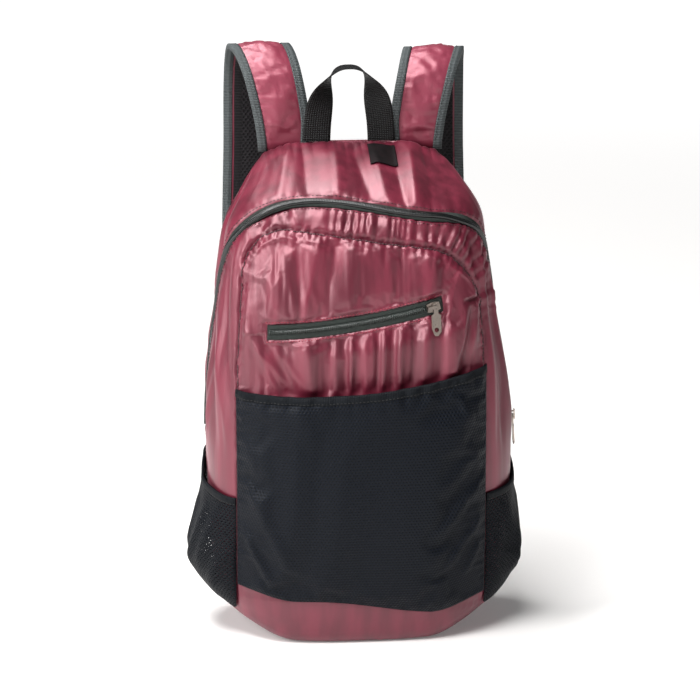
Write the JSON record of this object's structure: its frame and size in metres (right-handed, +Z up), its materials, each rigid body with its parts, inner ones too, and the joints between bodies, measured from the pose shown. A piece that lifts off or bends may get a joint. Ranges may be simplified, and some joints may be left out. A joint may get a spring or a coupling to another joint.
{
  "type": "packable backpack",
  "caption": "Thin nylon backpack standing filled out on its base: arched main zip, slanted pocket zip, mesh front and side pockets, webbing haul loop and light shoulder straps.",
  "frame": {"origin": "middle of the flat of the base, on the floor", "axes": "+Z up, the front with the pockets faces -Y, +X is the viewer's right"},
  "size_m": [0.3065, 0.2272, 0.5255],
  "materials": {
    "maroon_nylon": "thin satin nylon taffeta, dark red",
    "pocket_mesh": "fine polyester mesh, blue-black",
    "black_webbing": "ribbed polypropylene webbing, black",
    "zip_tape": "woven polyester zip tape, black",
    "zip_coil": "nylon coil, black",
    "nickel_plate": "nickel-plated zinc casting",
    "dark_patch": "plain dark cloth",
    "strap_lining": "spacer mesh, black",
    "grey_binding": "ribbed grosgrain tape, grey",
    "black_acetal": "moulded acetal, black"
  },
  "bodies": {
    "bag": {"body_shell": "maroon_nylon", "front_panel": "maroon_nylon", "front_mesh_pocket": "pocket_mesh", "front_pocket_hem": "black_webbing", "side_mesh_pocket_right": "pocket_mesh", "side_pocket_hem_right": "black_webbing", "side_mesh_pocket_left": "pocket_mesh", "side_pocket_hem_left": "black_webbing", "main_zip_tape": "zip_tape", "main_zip_coil": "zip_coil", "main_zip_slider": "nickel_plate", "front_zip_tape": "zip_tape", "front_zip_coil": "zip_coil", "front_zip_slider": "nickel_plate", "loop_patch": "dark_patch", "haul_loop": "black_webbing", "shoulder_strap_right": "maroon_nylon", "strap_lining_right": "strap_lining", "strap_binding_outer_right": "grey_binding", "strap_binding_inner_right": "grey_binding", "strap_end_loop_right": "black_webbing", "ladder_lock_right": "black_acetal", "lower_webbing_right": "black_webbing", "anchor_tab_right": "maroon_nylon", "shoulder_strap_left": "maroon_nylon", "strap_lining_left": "strap_lining", "strap_binding_outer_left": "grey_binding", "strap_binding_inner_left": "grey_binding", "strap_end_loop_left": "black_webbing", "ladder_lock_left": "black_acetal", "lower_webbing_left": "black_webbing", "anchor_tab_left": "maroon_nylon"},
    "front_pull": {"front_zip_pull": "nickel_plate"},
    "main_pull": {"main_zip_pull": "nickel_plate"}
  },
  "joints": [
    {"name": "front_pull_swing", "type": "hinge", "parent": "bag", "child": "front_pull", "pos_m": [0.06332, -0.07047, 0.31364], "axis": [0.1822, -0.9706, 0.1571], "range_deg": [-45, 75]},
    {"name": "main_pull_swing", "type": "hinge", "parent": "bag", "child": "main_pull", "pos_m": [0.14181, 0.0053, 0.1871], "axis": [0.9985, 0.0009, 0.0548], "range_deg": [-100, 100]}
  ]
}
